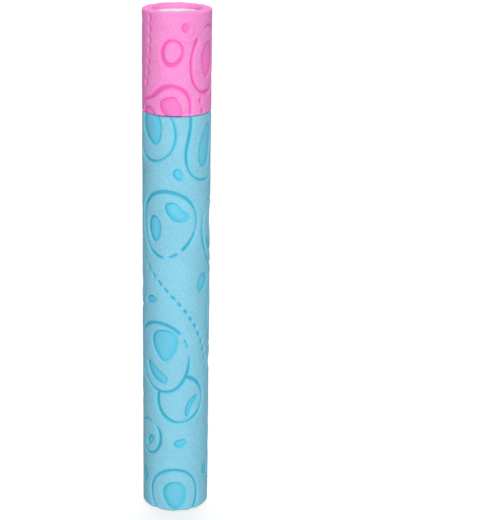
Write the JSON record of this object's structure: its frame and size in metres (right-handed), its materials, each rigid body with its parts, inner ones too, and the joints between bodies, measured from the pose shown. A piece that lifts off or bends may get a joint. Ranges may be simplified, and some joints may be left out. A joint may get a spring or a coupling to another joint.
{
  "type": "water squirter",
  "caption": "Foam-covered hand pump water squirter: a round foam body with a nozzle in one end, and a foam handle on a plunger that slides out of the other to draw water in.",
  "frame": {"origin": "middle of the bottom end, on the surface that the squirter stands on", "axes": "+Z along the barrel from the nozzle end to the handle; the foam's welded seam is at +Y"},
  "size_m": [0.04, 0.04, 0.306],
  "materials": {
    "blue_foam": "matte",
    "pink_foam": "matte",
    "white_plastic": "satin",
    "black_rubber": "matte"
  },
  "bodies": {
    "barrel": {"body_foam": "blue_foam", "barrel_tube": "white_plastic", "nozzle_plug": "white_plastic", "guide_collar": "white_plastic"},
    "seal": {"piston_seal": "black_rubber"},
    "plunger": {"piston_head": "white_plastic", "plunger_rod": "white_plastic", "rod_stopper": "white_plastic", "handle_base_plug": "white_plastic", "handle_tube": "white_plastic", "handle_end_cap": "white_plastic", "handle_foam": "pink_foam"}
  },
  "joints": [
    {"name": "plunger_slide", "type": "slide", "parent": "barrel", "child": "seal", "axis": [0, 0, 1], "range_m": [0, 0.2045]},
    {"name": "handle_turn", "type": "hinge", "parent": "seal", "child": "plunger", "pos_m": [0, 0, 0.2473], "axis": [0, 0, 1], "continuous": true}
  ]
}
